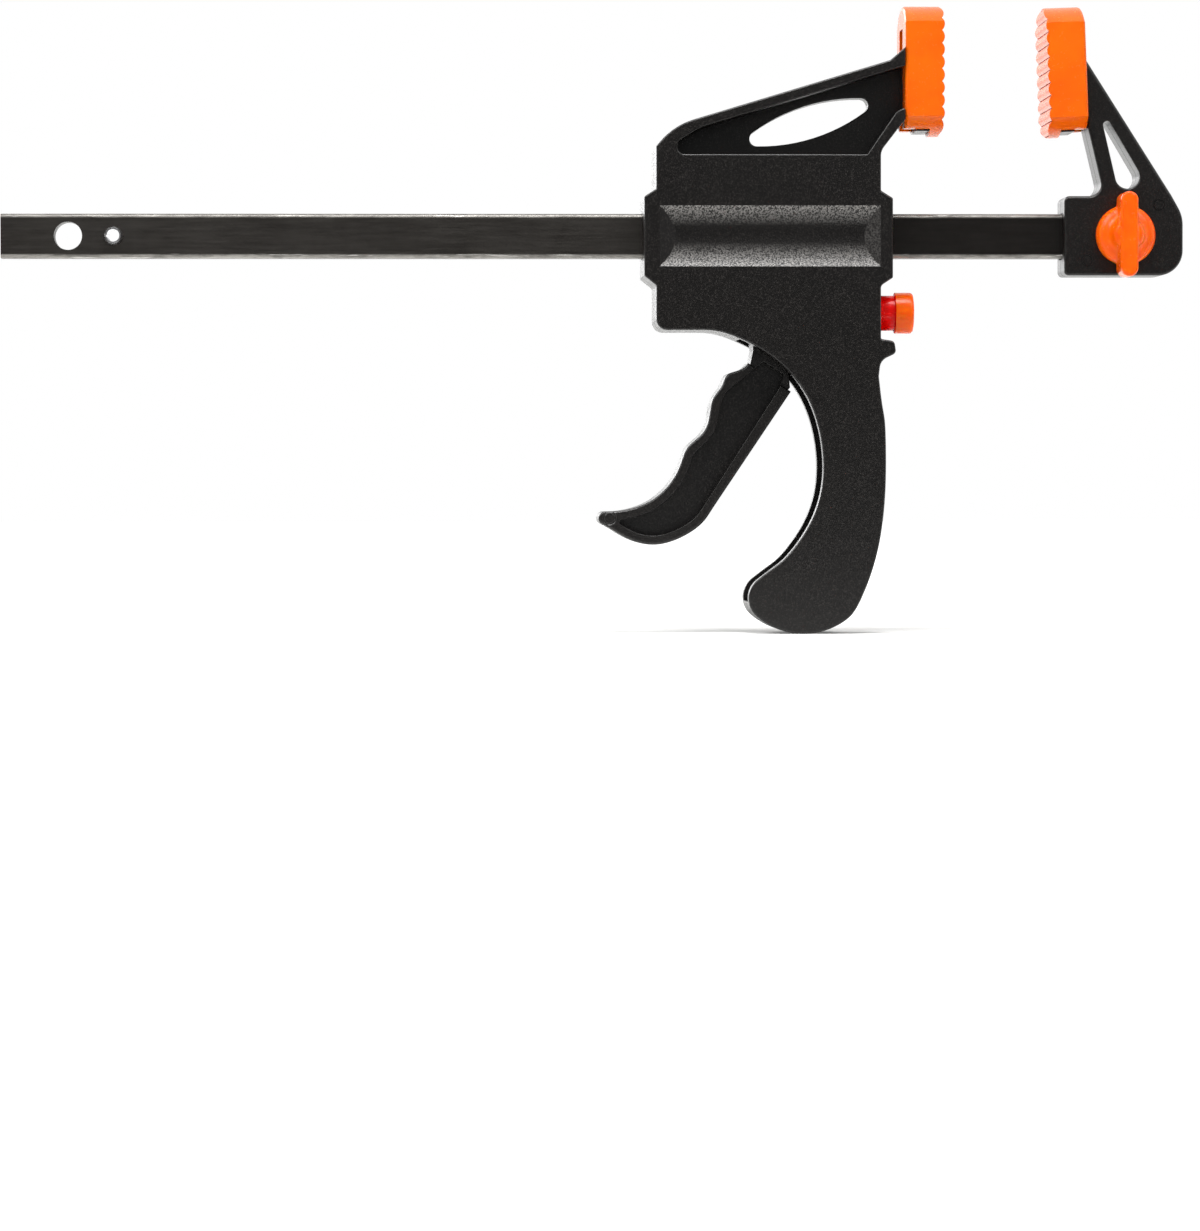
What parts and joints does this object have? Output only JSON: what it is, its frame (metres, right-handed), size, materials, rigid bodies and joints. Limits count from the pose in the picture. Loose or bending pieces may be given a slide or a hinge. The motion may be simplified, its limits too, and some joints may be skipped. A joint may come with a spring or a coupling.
{
  "type": "quick release bar clamp",
  "caption": "Quick release bar clamp: trigger-driven moving jaw on a flat bar, push-button release, soft toothed pads and a fixed jaw held by a wing knob.",
  "frame": {"origin": "centre of the spreader hole in the free end of the bar", "axes": "+X along the bar towards the fixed jaw, +Z from the bar to the jaw pads, -Y the face that carries the lock knob"},
  "size_m": [0.1977, 0.0196, 0.1052],
  "materials": {
    "black_nylon": "fine moulded texture, satin",
    "orange_pad": "moulded, soft satin",
    "orange_plastic": "moulded, satin",
    "blackened_steel": "black oxide over rolled steel, rubbed on the edges",
    "bright_steel": "zinc plated",
    "spring_steel": "drawn wire, oiled",
    "hardened_steel": "stamped and tumbled"
  },
  "bodies": {
    "bar_assembly": {"bar": "blackened_steel", "bar_stop_pin": "bright_steel", "fixed_jaw": "black_nylon", "fixed_jaw_pad": "orange_pad", "lock_nut": "bright_steel"},
    "lock": {"lock_knob": "orange_plastic", "lock_stud": "bright_steel"},
    "carriage": {"body_front_shell": "black_nylon", "body_rear_shell": "black_nylon", "shell_screws": "bright_steel", "moving_jaw_pad": "orange_pad", "trigger_pivot_pin": "bright_steel", "drive_spring": "spring_steel", "brake_spring": "spring_steel"},
    "trigger": {"trigger": "black_nylon"},
    "drive_plates": {"drive_plate_1": "hardened_steel", "drive_plate_2": "hardened_steel"},
    "brake_plate": {"brake_plate": "hardened_steel"},
    "release_button": {"release_button": "orange_plastic"}
  },
  "joints": [
    {"name": "carriage_slide", "type": "slide", "parent": "bar_assembly", "child": "carriage", "axis": [1, 0, 0], "range_m": [-0.08674, 0.0167]},
    {"name": "trigger_pivot", "type": "hinge", "parent": "carriage", "child": "trigger", "pos_m": [0.11649, 0, -0.0136], "axis": [0, 1, 0], "range_deg": [-24, 0], "stiffness_Nm_per_rad": 0.06, "springref_deg": 14.32},
    {"name": "drive_plates_slide", "type": "slide", "parent": "carriage", "child": "drive_plates", "axis": [1, 0, 0], "range_m": [-0.00275, 0], "deforming": ["drive_spring"]},
    {"name": "release_button_slide", "type": "slide", "parent": "carriage", "child": "release_button", "axis": [1, 0, 0], "range_m": [-0.0024, 0], "stiffness_N_per_m": 400, "springref_m": 0.002},
    {"name": "brake_plate_pivot", "type": "hinge", "parent": "carriage", "child": "brake_plate", "pos_m": [0.12649, 0, 0.00842], "axis": [0, 1, 0], "range_deg": [0, 6.45], "deforming": ["brake_spring"]},
    {"name": "lock_turn", "type": "hinge", "parent": "bar_assembly", "child": "lock", "pos_m": [0.17665, 0, 0], "axis": [0, 1, 0], "continuous": true}
  ],
  "couplings": [
    {"joint": "drive_plates_slide", "follows": "trigger_pivot", "m_per_rad": 0.0065},
    {"joint": "brake_plate_pivot", "follows": "release_button_slide", "rad_per_m": -46.5}
  ]
}
